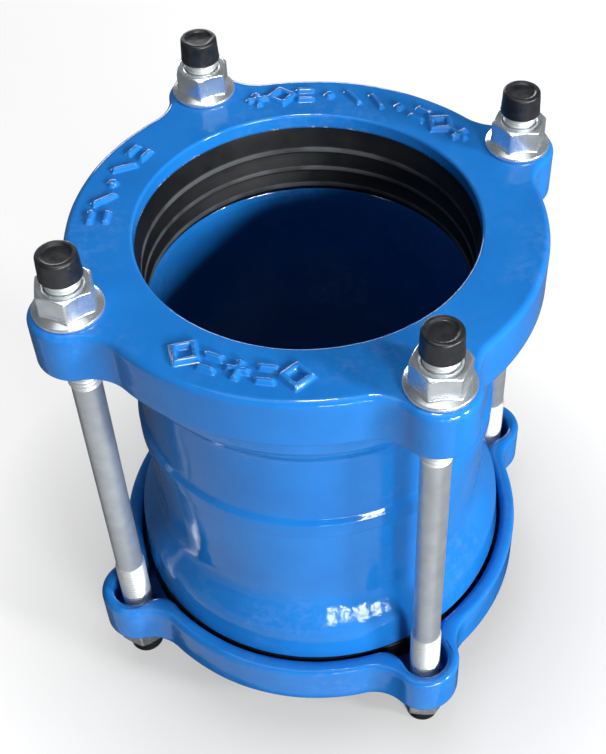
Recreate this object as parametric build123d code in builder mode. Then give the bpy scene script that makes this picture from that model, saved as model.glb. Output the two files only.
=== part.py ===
from build123d import *
import os
from math import cos, radians, sin

# DN100 wide-range pipe coupling, the clamp that joins two cut pipe ends. A centre sleeve with a cone at
# each end takes two rubber wedge gaskets, and two end rings squeeze them when the studs are tightened.
# It stands on its four lower thread caps, +Z up along the pipe, with the origin on the pipe axis.

os.makedirs("parts", exist_ok=True)

# Driving dimensions, in millimetres and degrees
BORE_R = 61.0  # castings clear the largest pipe, 118 mm, by 2 mm all round
COUPLING_LENGTH = 185.0  # outer face to outer face of the end rings
STUD_R = 6.0  # M12
STUD_CIRCLE_R = 88.0
STUD_ANGLES = (225, 315, 45, 135)  # studs 1 to 4: front left, front right, back right, back left
UPPER_NUT_TURNS = (55, 22, 24, 44)  # a corner of each nut, as the spanner left it
LOWER_NUT_TURNS = (12, 48, 31, 5)

# Sleeve: heights are measured from its middle
BARREL_R = 68.5
SLEEVE_HALF = 73.5
BARREL_HALF = 44.0  # where the barrel starts to flare
SHOULDER = (76.0, 56.0)  # radius and height where the flare ends
LIP_R = 77.3
SLEEVE_BLEND = 8.0
SLEEVE_EDGE = 1.8
SEAT_THROAT = (61.5, 55.0)  # small end of the gasket's cone
SEAT_MOUTH_R = 73.5
BEAD_RISE = 1.8
BEAD_TOP = 7.0
BEAD_FOOT = 10.0
BEAD_ABOVE_MIDDLE = 4.5
BEAD_BLEND = 1.2

# End ring: a shallow cup with four hollow lugs
RING_R = 85.0
RING_DEPTH = 21.5
RING_PLATE = 6.0
SKIRT_INNER_R = 78.5
LUG_R = 14.0
LUG_WALL = 5.0
LUG_BLEND = 16.0
POCKET_BLEND = 9.0
STUD_HOLE_R = 7.0
FACE_EDGE = 2.5
RIM_EDGE = 1.4
BORE_EDGE = 1.2

# Gasket: heights are measured down from the ring's outer face
GASKET_R = 77.0
GASKET_TIP = 36.4
GASKET_CORNER = 1.5
LEAD_IN_R = 61.7
LIP_LAND_R = 59.75
LIP_HEIGHTS = (16.0, 25.0, 33.0)
LIP_LAND = 1.5
GROOVE_R = 61.8
GROOVE_DROP = 1.5

# Stud, flange nut and push-on thread cap
SHANK_R = 5.4
UPPER_THREAD = 41.0  # thread runs this far below the upper ring's face
LOWER_THREAD = 27.0  # and this far above the lower ring's face
SHANK_TAPER = 0.8
STUD_CHAMFER = 1.0
UPPER_STUD_OUT = 23.1
LOWER_STUD_OUT = 19.6
NUT_FLATS = 18.0
NUT_HEIGHT = 11.6
NUT_FLANGE_R = 12.0
NUT_FLANGE_EDGE = 1.5
NUT_FLANGE_TOP = 3.4
NUT_CHAMFER = 1.0
THREAD_GAP = 0.05  # running clearance of nuts and caps on the stud
CAP_LENGTH = 9.0
CAP_FOOT_R = 7.3
CAP_TOP_R = 6.8
CAP_END = 1.2
CAP_ROUND = 1.5
UPPER_CAP_START = 15.3
LOWER_CAP_START = NUT_HEIGHT + 0.2

# Levels above the surface that the coupling stands on
LOWER_FACE = LOWER_CAP_START + CAP_LENGTH
UPPER_FACE = LOWER_FACE + COUPLING_LENGTH
MIDDLE = (LOWER_FACE + UPPER_FACE) / 2


def save(piece, name):
    """Label a finished piece and write its STEP file."""
    piece.part.label = name
    export_step(piece.part, f"parts/{name}.step")


def stud_point(number, height):
    """A point on the axis of a stud, numbered from 0."""
    angle = radians(STUD_ANGLES[number])
    return (STUD_CIRCLE_R * cos(angle), STUD_CIRCLE_R * sin(angle), height)


def upright(seat):
    """The plane that holds the seat's axis, with x outward and y along the axis."""
    return Plane(origin=seat.origin, x_dir=seat.x_dir, z_dir=-seat.y_dir)


def turned(seat, points, mode=Mode.ADD):
    """Turn a closed outline of (radius, height) points about the seat's axis."""
    with BuildSketch(upright(seat)) as outline:
        with BuildLine():
            Polyline(*points, close=True)
        make_face()
    revolve(outline.sketch, axis=Axis(seat.origin, seat.z_dir), mode=mode)


# Centre sleeve
middle = Plane.XY.offset(MIDDLE)
with BuildPart() as centre_sleeve:
    outline = [
        (BARREL_R, -BARREL_HALF),
        (BARREL_R, BARREL_HALF),
        SHOULDER,
        (LIP_R, SLEEVE_HALF),
        (SEAT_MOUTH_R, SLEEVE_HALF),
        SEAT_THROAT,
        (BORE_R, SEAT_THROAT[1]),
    ]
    mirrored = [(r, -h) for r, h in reversed(outline) if r != BARREL_R]
    turned(middle, outline + mirrored)
    rings = centre_sleeve.edges().filter_by(GeomType.CIRCLE)
    lips = [e for e in rings if abs(e.radius - LIP_R) < 0.01]
    fillet(lips, SLEEVE_EDGE)
    rings = centre_sleeve.edges().filter_by(GeomType.CIRCLE)
    flares = [e for e in rings if abs(e.radius - BARREL_R) < 0.01 or abs(e.radius - SHOULDER[0]) < 0.01]
    fillet(flares, SLEEVE_BLEND)
    bead = Plane.XY.offset(MIDDLE + BEAD_ABOVE_MIDDLE)
    bead_outline = [
        (BARREL_R - 1, -BEAD_FOOT / 2),
        (BARREL_R, -BEAD_FOOT / 2),
        (BARREL_R + BEAD_RISE, -BEAD_TOP / 2),
        (BARREL_R + BEAD_RISE, BEAD_TOP / 2),
        (BARREL_R, BEAD_FOOT / 2),
        (BARREL_R - 1, BEAD_FOOT / 2),
    ]
    turned(bead, bead_outline)
    rings = centre_sleeve.edges().filter_by(GeomType.CIRCLE)
    bead_edges = [e for e in rings if abs(e.radius - BARREL_R - BEAD_RISE) < 0.01]
    fillet(bead_edges, BEAD_BLEND)
save(centre_sleeve, "centre_sleeve")


# End rings: the lower one is the upper one turned over
lug_places = PolarLocations(STUD_CIRCLE_R, len(STUD_ANGLES), start_angle=45)
upper_face = Plane.XY.offset(UPPER_FACE)
with BuildPart() as upper_end_ring:
    with BuildSketch(upper_face) as ring_outline:
        Circle(RING_R)
        with lug_places:
            Circle(LUG_R)
        fillet(ring_outline.vertices(), LUG_BLEND)
    extrude(amount=-RING_DEPTH)
    face_edges = upper_end_ring.faces().sort_by(Axis.Z)[-1].edges()
    fillet(face_edges, FACE_EDGE)
    with BuildSketch(upper_face.offset(-RING_DEPTH)) as cavity_outline:
        Circle(SKIRT_INNER_R)
        pocket_r = LUG_R - LUG_WALL
        for angle in STUD_ANGLES:
            with Locations(Rotation(0, 0, angle)):
                with Locations((STUD_CIRCLE_R / 2, 0)):
                    SlotCenterToCenter(STUD_CIRCLE_R, 2 * pocket_r)
        Circle(SKIRT_INNER_R)
        necks = [v for v in cavity_outline.vertices() if abs(Vector(v.X, v.Y).length - SKIRT_INNER_R) < 0.01]
        fillet(necks, POCKET_BLEND)
    extrude(amount=RING_DEPTH - RING_PLATE, mode=Mode.SUBTRACT)
    rim_edges = upper_end_ring.faces().sort_by(Axis.Z)[0].edges()
    fillet(rim_edges, RIM_EDGE)
    with Locations(upper_face):
        Hole(BORE_R)
    with Locations(upper_face), lug_places:
        Hole(STUD_HOLE_R)
    bore_edges = upper_end_ring.faces().sort_by(Axis.Z)[-1].edges().filter_by(GeomType.CIRCLE)
    fillet([e for e in bore_edges if abs(e.radius - BORE_R) < 0.01], BORE_EDGE)
save(upper_end_ring, "upper_end_ring")

with BuildPart() as lower_end_ring:
    mirror(upper_end_ring.part, about=middle)
save(lower_end_ring, "lower_end_ring")


# Gaskets: a heel in the ring, a wedge in the sleeve's cone, three sealing lips inside
gasket_outline = [
    (LEAD_IN_R, RING_PLATE),
    (GASKET_R - GASKET_CORNER, RING_PLATE),
    (GASKET_R, RING_PLATE + GASKET_CORNER),
    (GASKET_R, COUPLING_LENGTH / 2 - SLEEVE_HALF),
    (SEAT_MOUTH_R, COUPLING_LENGTH / 2 - SLEEVE_HALF),
    (SEAT_THROAT[0] + 0.7, GASKET_TIP),
    (GROOVE_R - 1.0, GASKET_TIP),
]
for lip in reversed(LIP_HEIGHTS):
    if lip != LIP_HEIGHTS[-1]:
        gasket_outline.append((GROOVE_R, lip + LIP_LAND / 2 + GROOVE_DROP))
    gasket_outline.append((LIP_LAND_R, lip + LIP_LAND / 2))
    gasket_outline.append((LIP_LAND_R, lip - LIP_LAND / 2))
for name, seat in (
    ("upper_gasket", Plane((0, 0, UPPER_FACE), x_dir=(1, 0, 0), z_dir=(0, 0, -1))),
    ("lower_gasket", Plane((0, 0, LOWER_FACE), x_dir=(1, 0, 0), z_dir=(0, 0, 1))),
):
    with BuildPart() as gasket:
        turned(seat, gasket_outline)
    save(gasket, name)


# Studs: threaded at both ends, with a thinner plain shank between
for number in range(len(STUD_ANGLES)):
    stud_bottom = LOWER_FACE - LOWER_STUD_OUT
    foot = Plane(stud_point(number, stud_bottom))
    stud_length = UPPER_FACE + UPPER_STUD_OUT - stud_bottom
    shank_from = LOWER_FACE + LOWER_THREAD - stud_bottom
    shank_to = UPPER_FACE - UPPER_THREAD - stud_bottom
    with BuildPart() as stud:
        stud_outline = [
            (0, 0),
            (STUD_R - STUD_CHAMFER, 0),
            (STUD_R, STUD_CHAMFER),
            (STUD_R, shank_from),
            (SHANK_R, shank_from + SHANK_TAPER),
            (SHANK_R, shank_to - SHANK_TAPER),
            (STUD_R, shank_to),
            (STUD_R, stud_length - STUD_CHAMFER),
            (STUD_R - STUD_CHAMFER, stud_length),
            (0, stud_length),
        ]
        turned(foot, stud_outline)
    save(stud, f"stud_{number + 1}")


def flange_nut(seat):
    """A hexagon nut with a coned flange, its bearing face on the seat plane."""
    corner_r = NUT_FLATS / 2 / cos(radians(30))
    thread_r = STUD_R + THREAD_GAP
    with BuildPart() as nut:
        with BuildSketch(seat):
            RegularPolygon(corner_r, 6)
        extrude(amount=NUT_HEIGHT)
        envelope = [
            (0, 0),
            (corner_r + 1, 0),
            (corner_r + 1, NUT_HEIGHT - NUT_CHAMFER - 0.6),
            (NUT_FLATS / 2 - 0.2, NUT_HEIGHT),
            (0, NUT_HEIGHT),
        ]
        turned(seat, envelope, mode=Mode.INTERSECT)
        flange = [
            (0, 0),
            (NUT_FLANGE_R - 0.3, 0),
            (NUT_FLANGE_R, 0.3),
            (NUT_FLANGE_R, NUT_FLANGE_EDGE),
            (NUT_FLATS / 2 - 0.5, NUT_FLANGE_TOP),
            (0, NUT_FLANGE_TOP),
        ]
        turned(seat, flange)
        thread = [
            (0, 0),
            (thread_r + NUT_CHAMFER, 0),
            (thread_r, NUT_CHAMFER),
            (thread_r, NUT_HEIGHT - NUT_CHAMFER),
            (thread_r + NUT_CHAMFER, NUT_HEIGHT),
            (0, NUT_HEIGHT),
        ]
        turned(seat, thread, mode=Mode.SUBTRACT)
    return nut


def thread_cap(seat):
    """A push-on cap whose open end is on the seat plane."""
    inner_r = STUD_R + THREAD_GAP
    with BuildPart() as cap:
        wall = [
            (0, CAP_LENGTH - CAP_END),
            (inner_r, CAP_LENGTH - CAP_END),
            (inner_r, 0),
            (CAP_FOOT_R, 0),
            (CAP_TOP_R, CAP_LENGTH - CAP_ROUND),
            (CAP_TOP_R - 0.45, CAP_LENGTH - 0.45),
            (CAP_TOP_R - CAP_ROUND, CAP_LENGTH),
            (0, CAP_LENGTH),
        ]
        turned(seat, wall)
    return cap


# Nuts and caps at both ends of each stud
for number, turns in enumerate(zip(UPPER_NUT_TURNS, LOWER_NUT_TURNS)):
    ends = (
        ("upper", UPPER_FACE, 1, UPPER_CAP_START, turns[0]),
        ("lower", LOWER_FACE, -1, LOWER_CAP_START, turns[1]),
    )
    for end, face, way, cap_start, turn in ends:
        corner = (cos(radians(turn)), sin(radians(turn)), 0)
        nut_seat = Plane(stud_point(number, face), x_dir=corner, z_dir=(0, 0, way))
        cap_seat = Plane(stud_point(number, face + way * cap_start), x_dir=corner, z_dir=(0, 0, way))
        save(flange_nut(nut_seat), f"{end}_nut_{number + 1}")
        save(thread_cap(cap_seat), f"{end}_cap_{number + 1}")
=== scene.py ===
import math

import bpy
import numpy as np
from mathutils import Matrix, Vector, noise


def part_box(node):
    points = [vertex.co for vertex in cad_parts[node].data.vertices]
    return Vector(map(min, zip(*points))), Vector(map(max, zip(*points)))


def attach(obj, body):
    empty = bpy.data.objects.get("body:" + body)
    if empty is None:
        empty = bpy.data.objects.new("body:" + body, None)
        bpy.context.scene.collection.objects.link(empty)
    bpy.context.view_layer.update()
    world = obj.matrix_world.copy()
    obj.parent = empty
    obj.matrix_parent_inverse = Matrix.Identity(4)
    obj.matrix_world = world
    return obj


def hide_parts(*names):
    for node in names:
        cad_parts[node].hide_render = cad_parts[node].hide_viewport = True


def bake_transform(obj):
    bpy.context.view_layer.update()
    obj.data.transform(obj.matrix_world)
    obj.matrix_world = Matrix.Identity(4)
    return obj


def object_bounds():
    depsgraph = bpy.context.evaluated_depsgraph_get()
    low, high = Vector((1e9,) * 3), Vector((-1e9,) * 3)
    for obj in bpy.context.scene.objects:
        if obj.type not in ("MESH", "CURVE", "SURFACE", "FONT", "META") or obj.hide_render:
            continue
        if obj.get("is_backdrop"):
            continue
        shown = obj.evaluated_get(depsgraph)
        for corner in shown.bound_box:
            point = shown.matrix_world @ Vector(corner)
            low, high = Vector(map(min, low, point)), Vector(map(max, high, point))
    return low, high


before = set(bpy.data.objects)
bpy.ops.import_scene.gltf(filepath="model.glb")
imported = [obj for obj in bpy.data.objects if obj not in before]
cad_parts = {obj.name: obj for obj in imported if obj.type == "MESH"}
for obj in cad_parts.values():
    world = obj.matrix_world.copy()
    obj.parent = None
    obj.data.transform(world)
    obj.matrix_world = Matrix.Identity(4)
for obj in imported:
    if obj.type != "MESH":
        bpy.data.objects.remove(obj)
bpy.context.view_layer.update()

# A DN100 wide-range pipe coupling: two end rings on four studs squeeze rubber gaskets into a flared sleeve.
# Outlines are in millimetres, as (radius, height) or (x, y), and MM turns them into metres.
MM = 0.001
TAU = 2 * math.pi

# Levels and stud axes, read from the frame
UPPER_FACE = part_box("upper_end_ring")[1].z / MM
LOWER_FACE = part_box("lower_end_ring")[0].z / MM
MIDDLE = (UPPER_FACE + LOWER_FACE) / 2
STUDS = (1, 2, 3, 4)


def node_axis(node):
    """The x and y, in millimetres, of the upright axis through a node."""
    low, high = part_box(node)
    return (low.x + high.x) / 2 / MM, (low.y + high.y) / 2 / MM


STUD_AXES = {number: node_axis(f"stud_{number}") for number in STUDS}
STUD_CIRCLE_R = math.hypot(*STUD_AXES[1])

# Castings
BORE_R = 61.0
RING_R = 85.0
RING_DEPTH = 21.5
RING_PLATE = 6.0
SKIRT_INNER_R = 78.5
LUG_R = 14.0
LUG_BLEND = 16.0
POCKET_R = 9.0
POCKET_BLEND = 9.0
STUD_HOLE_R = 7.0
FACE_EDGE = 2.6
RIM_EDGE = 2.0
BORE_EDGE = 1.2
BARREL_R = 68.5
SLEEVE_HALF = 73.5
SEAT_MOUTH_R = 73.5
BEAD_ABOVE_MIDDLE = 4.5

# Fasteners
THREAD_R = 6.0
THREAD_DEPTH = 0.85
PITCH = 1.75
SHANK_R = 5.4
UPPER_THREAD = 35.5
LOWER_THREAD = 39.0
NUT_HEIGHT = 11.6
NUT_FLATS = 18.0
NUT_FLANGE_R = 12.0
CAP_LENGTH = 9.0


# ---------------------------------------------------------------- mesh helpers


def rounded(points, radii, run=2.0, closed=True, turn_step=math.radians(11)):
    """An outline through points with every corner rounded to its radius and long runs divided."""
    points = [Vector(p) for p in points]
    count = len(points)
    out = []
    for i, here in enumerate(points):
        radius = radii[i]
        at_end = not closed and i in (0, count - 1)
        if radius == 0 or at_end:
            out.append(here)
            continue
        back = (points[i - 1] - here).normalized()
        ahead = (points[(i + 1) % count] - here).normalized()
        half = back.angle(ahead) / 2
        reach = radius / math.tan(half)
        centre = here + (back + ahead).normalized() * (radius / math.sin(half))
        start = here + back * reach - centre
        end = here + ahead * reach - centre
        turn = start.angle_signed(end)
        steps = max(3, round(abs(turn) / turn_step))
        for k in range(steps + 1):
            a = -turn * k / steps
            out.append(centre + Vector((start.x * math.cos(a) - start.y * math.sin(a),
                                        start.x * math.sin(a) + start.y * math.cos(a))))
    dense = []
    last = len(out) if closed else len(out) - 1
    for i in range(last):
        a, b = out[i], out[(i + 1) % len(out)]
        parts = max(1, math.ceil((b - a).length / run))
        dense += [a.lerp(b, k / parts) for k in range(parts)]
    if not closed:
        dense.append(out[-1])
    return np.array([(p.x, p.y) for p in dense])


def grid_object(name, rows, wrap=True):
    """A mesh from rows of points in millimetres. Every row is a closed loop. With wrap the last row joins
    the first, and without it the two end rows are closed by a point at their middle."""
    rows = np.asarray(rows, float) * MM
    n_rows, n_cols = rows.shape[:2]
    points = rows.reshape(-1, 3)
    index = np.arange(n_rows * n_cols).reshape(n_rows, n_cols)
    below = index if wrap else index[:-1]
    above = np.roll(index, -1, axis=0) if wrap else index[1:]
    quads = np.stack([below, np.roll(below, -1, 1), np.roll(above, -1, 1), above], -1).reshape(-1, 4)
    faces = quads.tolist()
    if not wrap:
        ends = np.array([rows[0].mean(0), rows[-1].mean(0)])
        first, last = len(points), len(points) + 1
        points = np.vstack([points, ends])
        for j in range(n_cols):
            k = (j + 1) % n_cols
            faces.append([first, int(index[0, k]), int(index[0, j])])
            faces.append([last, int(index[-1, j]), int(index[-1, k])])
    mesh = bpy.data.meshes.new(name)
    mesh.from_pydata(points.tolist(), [], faces)
    if signed_volume(mesh) < 0:
        mesh.flip_normals()
    mesh.shade_smooth()
    made = bpy.data.objects.new(name, mesh)
    bpy.context.scene.collection.objects.link(made)
    return made


def signed_volume(mesh):
    """Positive when the faces look outward."""
    mesh.calc_loop_triangles()
    points = np.empty(len(mesh.vertices) * 3)
    mesh.vertices.foreach_get("co", points)
    corners = np.empty(len(mesh.loop_triangles) * 3, int)
    mesh.loop_triangles.foreach_get("vertices", corners)
    a, b, c = points.reshape(-1, 3)[corners.reshape(-1, 3)].transpose(1, 0, 2)
    return float(np.einsum("ij,ij->i", a, np.cross(b, c)).sum())


def lathe_rows(outline, segments, centre=(0.0, 0.0)):
    """Rows of points for an outline of (radius, height) turned about an upright axis."""
    angle = np.arange(segments) * TAU / segments
    ring = np.stack([np.cos(angle), np.sin(angle)], -1)
    outline = np.asarray(outline)
    rows = np.empty((len(outline), segments, 3))
    rows[:, :, :2] = outline[:, None, :1] * ring[None] + np.asarray(centre)
    rows[:, :, 2] = outline[:, 1:2]
    return rows


def sink(obj, depth_at):
    """Move every vertex inward along its normal by depth_at(point in millimetres), in millimetres."""
    mesh = obj.data
    count = len(mesh.vertices)
    points, normals = np.empty(count * 3), np.empty(count * 3)
    mesh.vertices.foreach_get("co", points)
    mesh.vertices.foreach_get("normal", normals)
    points, normals = points.reshape(-1, 3), normals.reshape(-1, 3)
    depth = np.array([depth_at(p) for p in points / MM])
    points -= normals * depth[:, None] * MM
    mesh.vertices.foreach_set("co", points.ravel())
    mesh.update()


def cast_skin(point):
    """Shallow hollows of a sand casting under its coating."""
    slow = noise.noise(Vector(point) / 17.0)
    fast = noise.noise(Vector(point) / 5.5 + Vector((40.0, 0.0, 0.0)))
    return 0.10 * (1 + slow) + 0.018 * (1 + fast)


# ---------------------------------------------------------------- materials


class Nodes:
    """A short way to build one Principled material."""

    def __init__(self, name):
        self.material = bpy.data.materials.new(name)
        self.material.use_nodes = True
        self.tree = self.material.node_tree
        self.shader = self.tree.nodes["Principled BSDF"]

    def node(self, kind, **values):
        made = self.tree.nodes.new(kind)
        for key, value in values.items():
            if hasattr(made, key):
                setattr(made, key, value)
            else:
                made.inputs[key.replace("_", " ")].default_value = value
        return made

    def link(self, source, target):
        self.tree.links.new(source, target)

    def noise(self, scale, detail=3.0, roughness=0.5, stretch=None):
        """Noise over the piece's own coordinates, with scale in features per metre."""
        place = self.node("ShaderNodeTexCoord").outputs["Object"]
        if stretch:
            mapping = self.node("ShaderNodeMapping")
            mapping.inputs["Scale"].default_value = stretch
            self.link(place, mapping.inputs["Vector"])
            place = mapping.outputs["Vector"]
        made = self.node("ShaderNodeTexNoise", Scale=scale, Detail=detail, Roughness=roughness)
        self.link(place, made.inputs["Vector"])
        return made.outputs["Fac"]

    def ramp(self, source, stops):
        """Colours at places along a 0 to 1 value."""
        made = self.node("ShaderNodeValToRGB")
        elements = made.color_ramp.elements
        while len(elements) < len(stops):
            elements.new(0.5)
        for element, (place, colour) in zip(elements, stops):
            element.position = place
            element.color = (*colour, 1) if len(colour) == 3 else colour
        self.link(source, made.inputs["Fac"])
        return made.outputs["Color"]

    def spread(self, source, low, high, start=0.3, end=0.7):
        """A value from low to high as the source goes from start to end."""
        made = self.node("ShaderNodeMapRange")
        for key, value in (("From Min", start), ("From Max", end), ("To Min", low), ("To Max", high)):
            made.inputs[key].default_value = value
        self.link(source, made.inputs["Value"])
        return made.outputs["Result"]

    def combine(self, operation, first, second):
        """One number from two number sockets."""
        made = self.node("ShaderNodeMath", operation=operation)
        self.link(first, made.inputs[0])
        self.link(second, made.inputs[1])
        return made.outputs["Value"]

    def product(self, first, second):
        return self.combine("MULTIPLY", first, second)

    def total(self, first, second):
        return self.combine("ADD", first, second)

    def mix(self, share, first, second):
        """Colour mix of two colours or colour sockets."""
        made = self.node("ShaderNodeMix", data_type="RGBA")
        for identifier, value in (("Factor_Float", share), ("A_Color", first), ("B_Color", second)):
            socket = next(s for s in made.inputs if s.identifier == identifier)
            if hasattr(value, "is_output"):
                self.link(value, socket)
            else:
                socket.default_value = (*value, 1) if hasattr(value, "__len__") else value
        return next(s for s in made.outputs if s.identifier == "Result_Color")

    def bump(self, layers):
        """Chained bumps of (height socket, distance in metres, strength)."""
        normal = None
        for height, distance, glow_with_painted_shadow in layers:
            made = self.node("ShaderNodeBump")
            made.inputs["Distance"].default_value = distance
            made.inputs["Strength"].default_value = glow_with_painted_shadow
            self.link(height, made.inputs["Height"])
            if normal is not None:
                self.link(normal, made.inputs["Normal"])
            normal = made.outputs["Normal"]
        self.link(normal, self.shader.inputs["Normal"])
        return normal

    def set(self, **values):
        for key, value in values.items():
            self.shader.inputs[key.replace("_", " ")].default_value = value


def blue_coat():
    """Glossy fusion-bonded epoxy over cast iron: deep even blue with a faint orange peel, hazy where it has
    been handled, lighter along edges as a painted highlight, and chipped on the sharpest of them."""
    m = Nodes("blue_coat")
    tone = m.ramp(m.noise(38, 4), [(0.3, (0.0095, 0.158, 0.52)), (0.7, (0.0135, 0.188, 0.585))])
    edge = m.node("ShaderNodeNewGeometry").outputs["Pointiness"]
    # Lighter blue on convex edges, found by pointiness: a painted highlight
    painted_edge_highlight = m.mix(m.spread(edge, 0.0, 0.45, 0.515, 0.57), tone, (0.03, 0.26, 0.74))
    sharp = m.spread(edge, 0.0, 1.0, 0.53, 0.56)
    chipped = m.product(sharp, m.spread(m.noise(260, 5, 0.7), 0.0, 1.0, 0.57, 0.62))
    handled = m.spread(m.noise(26, 4, 0.6), 0.0, 1.0, 0.50, 0.62)
    scuffs = m.product(handled, m.spread(m.noise(240, 4, 0.7), 0.0, 0.10, 0.45, 0.65))
    hazy = m.mix(scuffs, painted_edge_highlight, (0.25, 0.36, 0.75))
    m.link(m.mix(chipped, hazy, (0.50, 0.58, 0.64)), m.shader.inputs["Base Color"])
    m.link(m.total(m.spread(m.noise(60, 3), 0.05, 0.10), scuffs), m.shader.inputs["Roughness"])
    m.bump([(m.noise(330, 2), 0.0006, 0.10), (m.noise(95, 3), 0.0015, 0.12)])
    m.set(IOR=1.45)
    return m.material


def plated(name, tones, roughness, metallic, bump):
    """Zinc plating: pale metal, softly mottled between two greys, with a painted highlight along its edges.
    """
    m = Nodes(name)
    grey = m.ramp(m.noise(170, 4, 0.5), [(0.35, tones[0]), (0.65, tones[1])])
    edge = m.node("ShaderNodeNewGeometry").outputs["Pointiness"]
    # Near white on convex edges, found by pointiness: a painted highlight
    painted_edge_glint = m.mix(m.spread(edge, 0.0, 0.8, 0.515, 0.56), grey, (0.95, 0.97, 0.98))
    m.link(painted_edge_glint, m.shader.inputs["Base Color"])
    m.link(m.spread(m.noise(140, 3), *roughness), m.shader.inputs["Roughness"])
    m.bump([(m.noise(1200, 2), 0.0002, bump)])
    m.set(Metallic=metallic)
    return m.material


def rubber():
    """Moulded EPDM: black and satin, with a painted highlight in grey on the crests of the lips, nearest
    the axis.
    """
    m = Nodes("gasket_rubber")
    tone = m.ramp(m.noise(55, 5, 0.6), [(0.35, (0.0045, 0.005, 0.006)), (0.75, (0.010, 0.0105, 0.012))])
    across = m.node("ShaderNodeVectorMath", operation="MULTIPLY")
    m.link(m.node("ShaderNodeTexCoord").outputs["Object"], across.inputs[0])
    across.inputs[1].default_value = (1, 1, 0)
    off_axis = m.node("ShaderNodeVectorMath", operation="LENGTH")
    m.link(across.outputs["Vector"], off_axis.inputs[0])
    # Grey where the lips come nearest the axis: a painted highlight on their crests
    crest = m.spread(off_axis.outputs["Value"], 1.0, 0.0, 59.86 * MM, 60.02 * MM)
    painted_crest_highlight = m.product(crest, m.spread(m.noise(60, 3), 0.4, 1.0, 0.38, 0.58))
    m.link(m.mix(painted_crest_highlight, tone, (0.085, 0.092, 0.098)), m.shader.inputs["Base Color"])
    m.link(m.spread(m.noise(130, 4), 0.36, 0.54), m.shader.inputs["Roughness"])
    m.bump([(m.noise(900, 3), 0.0003, 0.15)])
    m.set(Specular_IOR_Level=0.22)
    return m.material


def cap_plastic():
    """Soft black polyethylene, lightly scuffed."""
    m = Nodes("cap_plastic")
    tone = m.ramp(m.noise(300, 4), [(0.35, (0.008, 0.009, 0.011)), (0.8, (0.018, 0.019, 0.022))])
    m.link(tone, m.shader.inputs["Base Color"])
    m.link(m.spread(m.noise(420, 4, 0.6), 0.28, 0.46), m.shader.inputs["Roughness"])
    m.bump([(m.noise(520, 3), 0.0004, 0.3)])
    return m.material


BLUE, RUBBER, PLASTIC = blue_coat(), rubber(), cap_plastic()
NUT_ZINC = plated("zinc_nut", ((0.62, 0.68, 0.72), (0.76, 0.80, 0.82)), (0.22, 0.30), 0.88, 0.015)
SHANK_ZINC = plated("zinc_shank", ((0.50, 0.54, 0.57), (0.57, 0.61, 0.64)), (0.34, 0.42), 0.78, 0.05)
THREAD_ZINC = plated("zinc_thread", ((0.66, 0.70, 0.71), (0.78, 0.81, 0.81)), (0.34, 0.44), 0.68, 0.02)


def finish_piece(obj, node, body, materials):
    """Give a piece its materials and tie it to the frame."""
    for material in materials:
        obj.data.materials.append(material)
    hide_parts(node)
    if body:
        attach(obj, body)
    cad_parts[node].data.materials.clear()
    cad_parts[node].data.materials.append(materials[0])


# ---------------------------------------------------------------- end rings


def arc(centre, radius, start, end, step=0.02):
    """Points on an arc, angles in radians."""
    count = max(2, math.ceil(abs(end - start) / step))
    angles = np.linspace(start, end, count + 1)
    return np.stack([centre[0] + radius * np.cos(angles), centre[1] + radius * np.sin(angles)], -1)


def lug_sector(ring_r, lug_r, blend, slot, half_columns):
    """From a lug's tip, on +X, to halfway to the next lug: tip arc, blend and ring, evenly divided."""
    reach = ring_r + blend
    if slot:
        centre_y = lug_r + blend
        centre = np.array([math.sqrt(reach**2 - centre_y**2), centre_y])
        leave = math.pi / 2
    else:
        cos_a = (reach**2 + STUD_CIRCLE_R**2 - (lug_r + blend) ** 2) / (2 * reach * STUD_CIRCLE_R)
        centre = reach * np.array([cos_a, math.sqrt(1 - cos_a**2)])
        leave = math.atan2(centre[1], centre[0] - STUD_CIRCLE_R)
    meet = math.atan2(centre[1], centre[0])
    path = np.vstack([
        arc((STUD_CIRCLE_R, 0), lug_r, 0, leave),
        arc(centre, blend, leave + math.pi, meet + math.pi),
        arc((0, 0), ring_r, meet, math.pi / 4),
    ])
    length = np.concatenate([[0], np.cumsum(np.hypot(*np.diff(path, axis=0).T))])
    at = np.linspace(0, length[-1], half_columns + 1)
    return np.stack([np.interp(at, length, path[:, k]) for k in (0, 1)], -1)


def ring_loop(*sector):
    """The whole closed outline, four lugs, counter-clockwise."""
    half = lug_sector(*sector)
    whole = np.vstack([half[:0:-1] * (1, -1), half[:-1]])
    loop = []
    for axis in sorted(math.atan2(y, x) for x, y in STUD_AXES.values()):
        c, s = math.cos(axis), math.sin(axis)
        loop.append(whole @ np.array([[c, s], [-s, c]]))
    return np.vstack(loop)


def outward(loop):
    """Unit normals of a counter-clockwise loop, pointing out."""
    along = np.roll(loop, -1, 0) - np.roll(loop, 1, 0)
    along /= np.hypot(*along.T)[:, None]
    return np.stack([along[:, 1], -along[:, 0]], -1)


def bar(x, y, length, width):
    """Distance in millimetres outside a bar along x, negative inside."""
    dx, dy = np.abs(x) - length / 2, np.abs(y) - width / 2
    return np.hypot(np.maximum(dx, 0), np.maximum(dy, 0)) + np.minimum(np.maximum(dx, dy), 0)


def lozenge(x, y, size):
    return (np.abs(x) + np.abs(y) - size) / math.sqrt(2)


def hollow(distance, width):
    return np.abs(distance) - width / 2


# Foundry pips and bars, each as a distance in its own x (along the ring) and y (outward)
MARKS = {
    "lozenge": lambda x, y: hollow(lozenge(x, y, 4.6), 2.1),
    "pair": lambda x, y: np.minimum(bar(x, y - 2.8, 6.2, 2.1), bar(x, y + 2.8, 6.2, 2.1)),
    "pip": lambda x, y: np.hypot(x, y) - 1.8,
    "cross": lambda x, y: np.minimum(bar(x, y, 7.8, 2.1), bar(y, x, 7.8, 2.1)),
    "slash": lambda x, y: bar((x + y) / math.sqrt(2), (y - x) / math.sqrt(2), 9.4, 2.1),
}
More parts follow.
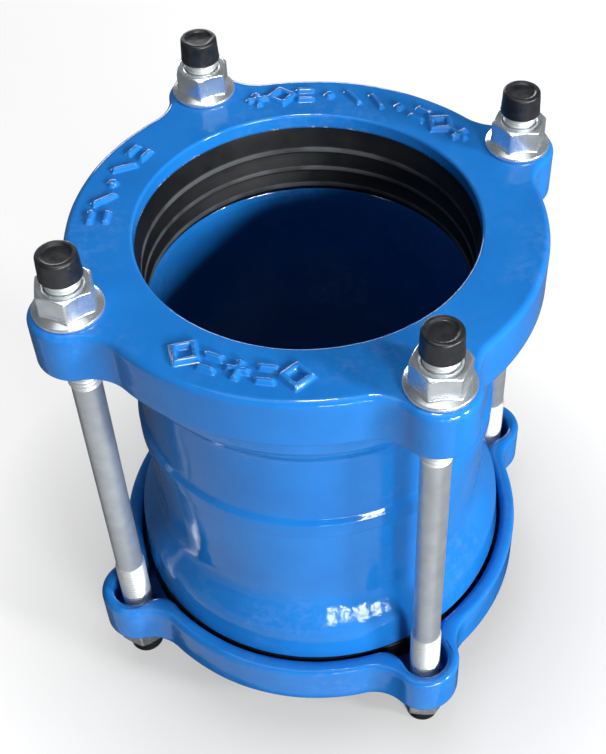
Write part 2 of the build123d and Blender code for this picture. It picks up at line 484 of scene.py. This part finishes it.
# Where each row of marks is centred, in degrees about the pipe axis, and what it holds
MARK_ROWS = (
    (270, ("lozenge", "pair", "cross", "pair", "lozenge")),
    (180, ("pair", "slash", "pip", "slash", "pair")),
    (90, ("cross", "lozenge", "pair", "pip", "slash", "slash", "pip", "pair", "lozenge", "cross")),
)
MARK_R = 73.5
MARK_STEP = 9.4
MARK_RISE = 1.5
MARK_SOFTNESS = 0.9


def relief(x, y):
    """Height of the raised marks over a ring's face, in millimetres."""
    rise = np.zeros_like(x)
    for degrees, row in MARK_ROWS:
        for k, mark in enumerate(row):
            angle = math.radians(degrees) + (k - (len(row) - 1) / 2) * MARK_STEP / MARK_R
            c, s = math.cos(angle), math.sin(angle)
            along = -x * s + y * c
            out = x * c + y * s - MARK_R
            distance = MARKS[mark](along, out)
            share = np.clip(0.5 - distance / MARK_SOFTNESS, 0, 1)
            rise = np.maximum(rise, MARK_RISE * share * share * (3 - 2 * share))
    return rise


def end_ring(name, face, way):
    """One end ring. face is its outer face's height, and way is 1 for the upper one, -1 for the lower."""
    half_columns = 118
    outline = ring_loop(RING_R, LUG_R, LUG_BLEND, False, half_columns)
    cavity = ring_loop(SKIRT_INNER_R, POCKET_R, POCKET_BLEND, True, half_columns)
    outline_out, cavity_out = outward(outline), outward(cavity)
    bearing = np.arctan2(outline[:, 1], outline[:, 0])
    spoke = np.stack([np.cos(bearing), np.sin(bearing)], -1)
    rows = []

    def add(flat, height):
        rows.append(np.column_stack([flat, face + way * (np.zeros(len(flat)) + height)]))

    quarter = np.linspace(0, math.pi / 2, 8)
    for height in np.linspace(-RING_PLATE, -BORE_EDGE, 5)[:-1]:
        add(spoke * BORE_R, height)
    for a in quarter:
        add(spoke * (BORE_R + BORE_EDGE * (1 - math.cos(a))), BORE_EDGE * (math.sin(a) - 1))
    inner = spoke * (BORE_R + BORE_EDGE)
    outer = outline - outline_out * FACE_EDGE
    for t in np.linspace(0, 1, 50)[1:-1]:
        flat = inner + (outer - inner) * t
        add(flat, relief(flat[:, 0], flat[:, 1]))
    for a in quarter:
        add(outline - outline_out * FACE_EDGE * (1 - math.sin(a)), FACE_EDGE * (math.cos(a) - 1))
    for height in np.linspace(-FACE_EDGE, RIM_EDGE - RING_DEPTH, 10)[1:-1]:
        add(outline, height)
    for a in quarter:
        add(outline - outline_out * RIM_EDGE * (1 - math.cos(a)), RIM_EDGE * (1 - math.sin(a)) - RING_DEPTH)
    for a in quarter[::-1]:
        add(cavity + cavity_out * RIM_EDGE * (1 - math.cos(a)), RIM_EDGE * (1 - math.sin(a)) - RING_DEPTH)
    for height in np.linspace(RIM_EDGE - RING_DEPTH, -RING_PLATE, 8)[1:]:
        add(cavity, height)
    for t in np.linspace(0, 1, 8)[1:-1]:
        add(cavity + (spoke * BORE_R - cavity) * t, -RING_PLATE)
    made = grid_object(name, rows)
    sink(made, lambda p: cast_skin(p) if abs(p[2] - face) < RING_DEPTH else 0.0)
    bore_holes(made, face, way)
    return made


def bore_holes(ring, face, way):
    """Cut the four stud holes through a ring's plate."""
    for number, axis in STUD_AXES.items():
        outline = [(STUD_HOLE_R, face - way * (RING_PLATE + 2)), (STUD_HOLE_R, face + way * 2)]
        plug = grid_object(f"plug_{number}", lathe_rows(outline, 48, axis), wrap=False)
        cut = ring.modifiers.new("hole", "BOOLEAN")
        cut.operation = "DIFFERENCE"
        cut.solver = "EXACT"
        cut.object = plug
        with bpy.context.temp_override(object=ring, active_object=ring):
            bpy.ops.object.modifier_apply(modifier=cut.name)
        bpy.data.objects.remove(plug)


for name, face, way in (("upper_end_ring", UPPER_FACE, 1), ("lower_end_ring", LOWER_FACE, -1)):
    ring = end_ring(f"{name}_casting", face, way)
    finish_piece(ring, name, name.replace("_end", ""), [BLUE])


# ---------------------------------------------------------------- sleeve


def centre_sleeve():
    """The barrel with a flared gasket seat at each end and a raised bead round it."""
    bead = BEAD_ABOVE_MIDDLE
    upper = [
        (76.0, 56.0, 8),
        (77.3, SLEEVE_HALF, 2.0),
        (SEAT_MOUTH_R, SLEEVE_HALF, 0.8),
        (61.5, 55.0, 1.5),
        (BORE_R, 53.0, 1),
    ]
    corners = [(r, -h, q) for r, h, q in reversed(upper)]
    corners += [
        (BARREL_R, -44.0, 9),
        (BARREL_R, bead - 5.4, 1.6),
        (BARREL_R + 1.8, bead - 3.4, 1.3),
        (BARREL_R + 1.8, bead + 3.4, 1.3),
        (BARREL_R, bead + 5.4, 1.6),
        (BARREL_R, 44.0, 9),
    ]
    corners += upper
    outline = rounded([c[:2] for c in corners], [c[2] for c in corners], run=2.4)
    outline[:, 1] += MIDDLE
    made = grid_object("centre_sleeve_casting", lathe_rows(outline, 300))
    sink(made, cast_skin)
    return made


finish_piece(centre_sleeve(), "centre_sleeve", "sleeve_and_studs", [BLUE])


# ---------------------------------------------------------------- gaskets

LIP_HEIGHTS = (16.0, 25.0, 33.0)
LIP_R = 59.75
LIP_LAND = 1.5
GROOVE_R = 61.8
GASKET_R = 77.0
GASKET_TIP = 36.4
COUPLING_HALF = (UPPER_FACE - LOWER_FACE) / 2


def gasket(name, face, way):
    """A wedge gasket: heel under the ring's plate, lead-in band, three lips and a cone outside."""
    seat = SLEEVE_HALF - COUPLING_HALF
    corners = [
        (61.75, RING_PLATE, 0.4),
        (GASKET_R, RING_PLATE, 1.5),
        (GASKET_R, -seat, 0.8),
        (SEAT_MOUTH_R, -seat, 0.3),
        (62.2, GASKET_TIP, 0.7),
        (60.9, GASKET_TIP, 0.5),
    ]
    for lip in reversed(LIP_HEIGHTS):
        if lip != LIP_HEIGHTS[-1]:
            corners.append((GROOVE_R, lip + 2.3, 0.7))
        corners.append((LIP_R, lip + LIP_LAND / 2, 0.35))
        corners.append((LIP_R, lip - LIP_LAND / 2, 0.35))
    outline = rounded([c[:2] for c in corners], [c[2] for c in corners], run=2.0)
    outline[:, 1] = face - way * outline[:, 1]
    made = grid_object(name, lathe_rows(outline, 256))
    sink(made, lambda p: 0.06 * (1 + noise.noise(Vector(p) / 6.0)))
    return made


for end, face, way in (("upper", UPPER_FACE, 1), ("lower", LOWER_FACE, -1)):
    piece = gasket(f"{end}_gasket_rubber", face, way)
    finish_piece(piece, f"{end}_gasket", None, [RUBBER])
    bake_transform(piece)


# ---------------------------------------------------------------- studs


def round_row(axis, radius, angle, height):
    """One level row of points about an upright axis, at a radius for each angle."""
    x, y = axis
    height = np.full(len(angle), height)
    return np.column_stack([x + radius * np.cos(angle), y + radius * np.sin(angle), height])


def stud(number):
    """A double-ended stud: right-hand M12 threads rolled up from a thinner shank."""
    low, high = (p.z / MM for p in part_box(f"stud_{number}"))
    thread_top = LOWER_FACE + LOWER_THREAD
    thread_bottom = UPPER_FACE - UPPER_THREAD
    fine = PITCH / 8
    heights = np.concatenate([
        np.arange(low, thread_top + 2, fine),
        np.linspace(thread_top + 2, thread_bottom - 2, 60),
        np.arange(thread_bottom - 2 + fine, high, fine),
        [high],
    ])
    columns = 40
    angle = np.arange(columns) * TAU / columns
    rows = []
    for z in heights:
        in_thread = max(thread_top - z, z - thread_bottom)
        full = np.clip(in_thread / 0.8, 0, 1)
        phase = (z / PITCH - angle / TAU) % 1.0
        crest = np.clip((np.abs(phase - 0.5) - 0.06) / 0.34, 0, 1)
        thread = THREAD_R - THREAD_DEPTH * crest
        radius = SHANK_R + (thread - SHANK_R) * full if in_thread > 0 else np.full(columns, SHANK_R)
        end_distance = min(z - low, high - z)
        radius = np.minimum(radius, THREAD_R - 1.0 + end_distance)
        rows.append(round_row(STUD_AXES[number], radius, angle, z))
    made = grid_object(f"stud_{number}_steel", rows, wrap=False)
    middle = np.array([sum(made.data.vertices[v].co.z for v in p.vertices) / len(p.vertices) / MM
                       for p in made.data.polygons])
    plain = (middle > thread_top) & (middle < thread_bottom)
    made.data.polygons.foreach_set("material_index", plain.astype(np.int32))
    return made


for number in STUDS:
    steel = [THREAD_ZINC, SHANK_ZINC]
    finish_piece(stud(number), f"stud_{number}", "sleeve_and_studs", steel)


# ---------------------------------------------------------------- flange nuts

# A corner of each nut, in degrees, as in the frame
NUT_TURNS = {"upper": (55, 22, 24, 44), "lower": (12, 48, 31, 5)}
# Radius gained for each millimetre down the nut's chamfer and the flange's cone
NUT_SLOPE = 1.75
NUT_BORE_R = 6.05
NUT_CORNER_R = 10.33
NUT_TOP_R = 8.85
# The nut's seat and the flange's rim, then its top and its bore, as (radius, height)
NUT_FOOT = (
    (NUT_BORE_R, 0.9),
    (6.9, 0.0),
    (8.5, 0.0),
    (10.0, 0.0),
    (11.5, 0.0),
    (11.85, 0.12),
    (NUT_FLANGE_R, 0.45),
    (NUT_FLANGE_R, 1.0),
    (11.95, 1.3),
)
NUT_TOP = (
    (8.45, NUT_HEIGHT),
    (7.6, NUT_HEIGHT),
    (6.9, NUT_HEIGHT),
    (6.3, NUT_HEIGHT - 0.55),
    (NUT_BORE_R, NUT_HEIGHT - 1.0),
    (NUT_BORE_R, 6.0),
    (NUT_BORE_R, 2.5),
)


def soft_min(a, b, softness):
    return 0.5 * (a + b - np.sqrt((a - b) ** 2 + softness**2))


def flange_nut(end, number, face, way):
    """A hexagon with chamfered corners that grows out of a coned flange."""
    columns = 144
    angle = np.arange(columns) * TAU / columns
    corner = math.radians(NUT_TURNS[end][number - 1])
    across = (angle - way * corner) % (TAU / 6) - TAU / 12
    hexagon = soft_min(NUT_FLATS / 2 / np.cos(across), NUT_CORNER_R, 0.12)
    heights = np.concatenate([
        np.linspace(1.55, 4.4, 22),
        np.linspace(4.8, 9.6, 6),
        np.linspace(9.9, NUT_HEIGHT - 0.05, 16),
    ])
    loops = [(np.full(columns, radius), height) for radius, height in NUT_FOOT]
    for height in heights:
        chamfer = NUT_TOP_R + (NUT_HEIGHT - height) * NUT_SLOPE
        side = soft_min(hexagon, chamfer, 0.22)
        cone = 11.85 - (height - 1.5) * NUT_SLOPE
        loops.append((-soft_min(-side, -cone, 0.5), height))
    loops += [(np.full(columns, radius), height) for radius, height in NUT_TOP]
    rows = [round_row(STUD_AXES[number], radius, angle, face + way * height) for radius, height in loops]
    return grid_object(f"{end}_nut_{number}_steel", rows)


def thread_cap(end, number, start, way):
    """A push-on cap, tapered, with a dished end and a slightly squashed rim."""
    end_low, inner = CAP_LENGTH - 1.2, THREAD_R + 0.06
    corners = [
        (0.3, end_low, 0),
        (inner, end_low, 0.4),
        (inner, 0.5, 0.2),
        (6.5, 0, 0.2),
        (7.3, 0, 0.35),
        (6.85, CAP_LENGTH - 0.1, 0.9),
        (5.2, CAP_LENGTH, 0.5),
        (4.4, CAP_LENGTH - 0.65, 0.6),
        (0.3, CAP_LENGTH - 0.75, 0),
    ]
    outline = rounded([c[:2] for c in corners], [c[2] for c in corners], run=0.6, closed=False)
    rows = lathe_rows(outline, 72, STUD_AXES[number])
    rows[:, :, 2] = start + way * rows[:, :, 2]
    made = grid_object(f"{end}_cap_{number}_plastic", rows, wrap=False)
    seed = Vector((number * 9.0, way * 5.0, 0))

    def squash(point):
        above_rim = way * (point[2] - start) > 0.8
        return 0.07 * (1 + noise.noise(Vector(point) / 3.2 + seed)) if above_rim else 0.0

    sink(made, squash)
    return made


for end, face, way in (("upper", UPPER_FACE, 1), ("lower", LOWER_FACE, -1)):
    for number in STUDS:
        nut, cap = f"{end}_nut_{number}", f"{end}_cap_{number}"
        finish_piece(flange_nut(end, number, face, way), nut, nut, [NUT_ZINC])
        low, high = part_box(cap)
        start = (low.z if way > 0 else high.z) / MM
        finish_piece(thread_cap(end, number, start, way), cap, cap, [PLASTIC])


# ---------------------------------------------------------------- floor, light and camera


def stage_piece(name, points, faces, material, seen):
    """Part of the set, which either only the camera sees or only the object does, as light and mirrored."""
    mesh = bpy.data.meshes.new(name)
    mesh.from_pydata(points, [], faces)
    mesh.materials.append(material)
    mesh.shade_smooth()
    piece = bpy.data.objects.new(name, mesh)
    bpy.context.scene.collection.objects.link(piece)
    piece.visible_camera = seen
    piece.visible_diffuse = piece.visible_glossy = piece.visible_shadow = not seen
    piece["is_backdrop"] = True


def paper(name, low, high, glow=0.0):
    """Matt paper between two greys; a glow fades under the object as a painted shadow, from 70 to 170 mm
    off its axis.
    """
    m = Nodes(name)
    m.link(m.ramp(m.noise(3, 3), [(0.3, (low,) * 3), (0.7, (high,) * 3)]), m.shader.inputs["Base Color"])
    m.set(Roughness=0.9, Specular_IOR_Level=0.0, Emission_Color=(1, 1, 1, 1))
    if glow:
        off_axis = m.node("ShaderNodeVectorMath", operation="LENGTH")
        m.link(m.node("ShaderNodeTexCoord").outputs["Object"], off_axis.inputs[0])
        # The glow halves toward the object's axis: a painted contact shadow
        glow_with_painted_shadow = m.spread(off_axis.outputs["Value"], glow / 2, glow, 0.07, 0.17)
        m.link(glow_with_painted_shadow, m.shader.inputs["Emission Strength"])
    return m.material


def circle(radius, height, sides):
    """Points round the pipe's axis, in metres."""
    turns = [TAU * k / sides for k in range(sides)]
    return [(radius * math.cos(a), radius * math.sin(a), height) for a in turns]


def stage():
    """A pale floor that sweeps up all round, and what lies on the bench as the object sees it: a white card
    in front on grey paper, and a near-black sheet under the object as painted shade."""
    flat_r, bend, wall = 2.4, 1.2, 4.0
    profile = [(0.0, 0.0)]
    for a in np.linspace(0, math.pi / 2, 13):
        profile.append((flat_r + bend * math.sin(a), bend * (1 - math.cos(a))))
    profile.append((flat_r + bend, wall))
    sides = 64
    points = [point for r, z in profile for point in circle(r, z, sides)]
    faces = []
    for i in range(len(profile) - 1):
        for k in range(sides):
            j = (k + 1) % sides
            faces.append((i * sides + k, i * sides + j, (i + 1) * sides + j, (i + 1) * sides + k))
    stage_piece("floor", points, faces, paper("floor_paper", 0.24, 0.27, 0.74), True)
    half, depth = 4.0, -0.002
    square = [(-half, -half, depth), (half, -half, depth), (half, half, depth), (-half, half, depth)]
    stage_piece("bench", square, [(0, 1, 2, 3)], paper("bench_paper", 0.12, 0.15), False)
    # A near-black sheet under the object, seen only by the object: painted shade for the bore and the lower
    # flare
    under = circle(0.098, -0.001, sides)
    stage_piece("shade_sheet", under, [tuple(range(sides))], paper("shade_sheet_paper", 0.025, 0.035), False)
    outline = [(0.09, -0.08), (0.75, -0.50), (0.2, -0.9), (-0.6, -0.7), (-0.30, -0.12), (-0.10, -0.08)]
    card = [(x, y, -0.0015) for x, y in outline]
    stage_piece("card", card, [tuple(range(len(card)))], paper("card_paper", 0.40, 0.43), False)


AIM = Vector((0, 0, 0.12))
LAMP_AWAY = 2.5


def toward(bearing, height):
    """The unit direction at a bearing from +X and a height above the horizon, both in degrees."""
    a, e = math.radians(bearing), math.radians(height)
    return Vector((math.cos(a) * math.cos(e), math.sin(a) * math.cos(e), math.sin(e)))


def softbox(name, place, out, size, power, only_mirrored=False):
    """A rectangular area light that shines against the direction out."""
    data = bpy.data.lights.new(name, "AREA")
    data.shape = "RECTANGLE"
    data.size, data.size_y = size
    data.energy = power
    lamp = bpy.data.objects.new(name, data)
    lamp.location = place
    lamp.rotation_mode = "QUATERNION"
    lamp.rotation_quaternion = (-out).to_track_quat("-Z", "Y")
    lamp.visible_camera = False
    lamp.visible_diffuse = not only_mirrored
    bpy.context.scene.collection.objects.link(lamp)


def window(bearing, height, away, columns, rows, step, pane, power):
    """A window of separate panes, low in front, for the broken highlights on the coating."""
    out = toward(bearing, height)
    right = Vector((-out.y, out.x, 0)).normalized()
    up = out.cross(right)
    for p in range(columns):
        for q in range(rows):
            place = AIM + out * away
            place += right * ((p - (columns - 1) / 2) * step[0]) + up * ((q - (rows - 1) / 2) * step[1])
            softbox(f"pane_{p}_{q}", place, out, pane, power / (columns * rows), True)


def studio_light():
    """A low key and a smaller lamp on the right, one overhead, one behind, and a dim sky for a dark bore.
    The sheen and the window are only mirrored: they light nothing."""
    world = bpy.data.worlds.new("studio")
    bpy.context.scene.world = world
    world.use_nodes = True
    tree = world.node_tree
    direction = tree.nodes.new("ShaderNodeTexCoord")
    split = tree.nodes.new("ShaderNodeSeparateXYZ")
    ramp = tree.nodes.new("ShaderNodeValToRGB")
    tree.links.new(direction.outputs["Generated"], split.inputs[0])
    tree.links.new(split.outputs["Z"], ramp.inputs["Fac"])
    tree.links.new(ramp.outputs["Color"], tree.nodes["Background"].inputs["Color"])
    stops = [(0.0, 0.28), (0.10, 0.26), (0.32, 0.10), (1.0, 0.055)]
    while len(ramp.color_ramp.elements) < len(stops):
        ramp.color_ramp.elements.new(0.5)
    for element, (place, grey) in zip(ramp.color_ramp.elements, stops):
        element.position = place
        element.color = (grey, grey * 1.04, grey * 1.15, 1)
    for name, bearing, height, size, power in (
        ("key", 318, 18, (0.8, 0.4), 66),
        ("side", 350, 24, (0.4, 0.3), 54),
        ("sheen", 284, 74, (2.4, 1.7), 15),
        ("overhead", 284, 90, (0.25, 0.25), 21),
        ("back", 118, 12, (1.6, 0.4), 26),
    ):
        out = toward(bearing, height)
        softbox(name, AIM + out * LAMP_AWAY, out, size, power, name == "sheen")
    window(307, 4.5, 1.3, 5, 2, (0.18, 0.113), (0.115, 0.065), 6)


def camera():
    """From above, a little to the right of the front, with the object left of and above the middle."""
    turn = math.radians(14.13)
    tilt = math.radians(45.84)
    roll = math.radians(0.93)
    distance, side, drop = 0.48665, 0.03039, -0.0515
    right = Vector((1, 0, 0))
    ahead = Vector((0, math.cos(tilt), -math.sin(tilt)))
    up = right.cross(ahead)
    right, up = right * math.cos(roll) + up * math.sin(roll), up * math.cos(roll) - right * math.sin(roll)
    place = Vector((side, -distance * math.cos(tilt), distance * math.sin(tilt) + drop))
    spin = Matrix.Rotation(turn, 3, "Z")
    data = bpy.data.cameras.new("camera")
    data.sensor_width = 36.0
    data.lens = 61.305
    data.shift_x, data.shift_y = -0.12, -0.0703
    data.clip_start, data.clip_end = 0.01, 20
    cam = bpy.data.objects.new("camera", data)
    cam.rotation_mode = "QUATERNION"
    cam.rotation_quaternion = (spin @ Matrix((right, up, -ahead)).transposed()).to_quaternion()
    cam.location = spin @ place + Vector((0, 0, UPPER_FACE * MM))
    bpy.context.scene.collection.objects.link(cam)
    bpy.context.scene.camera = cam


stage()
studio_light()
camera()
bpy.context.scene.view_settings.view_transform = "Standard"

low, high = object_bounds()
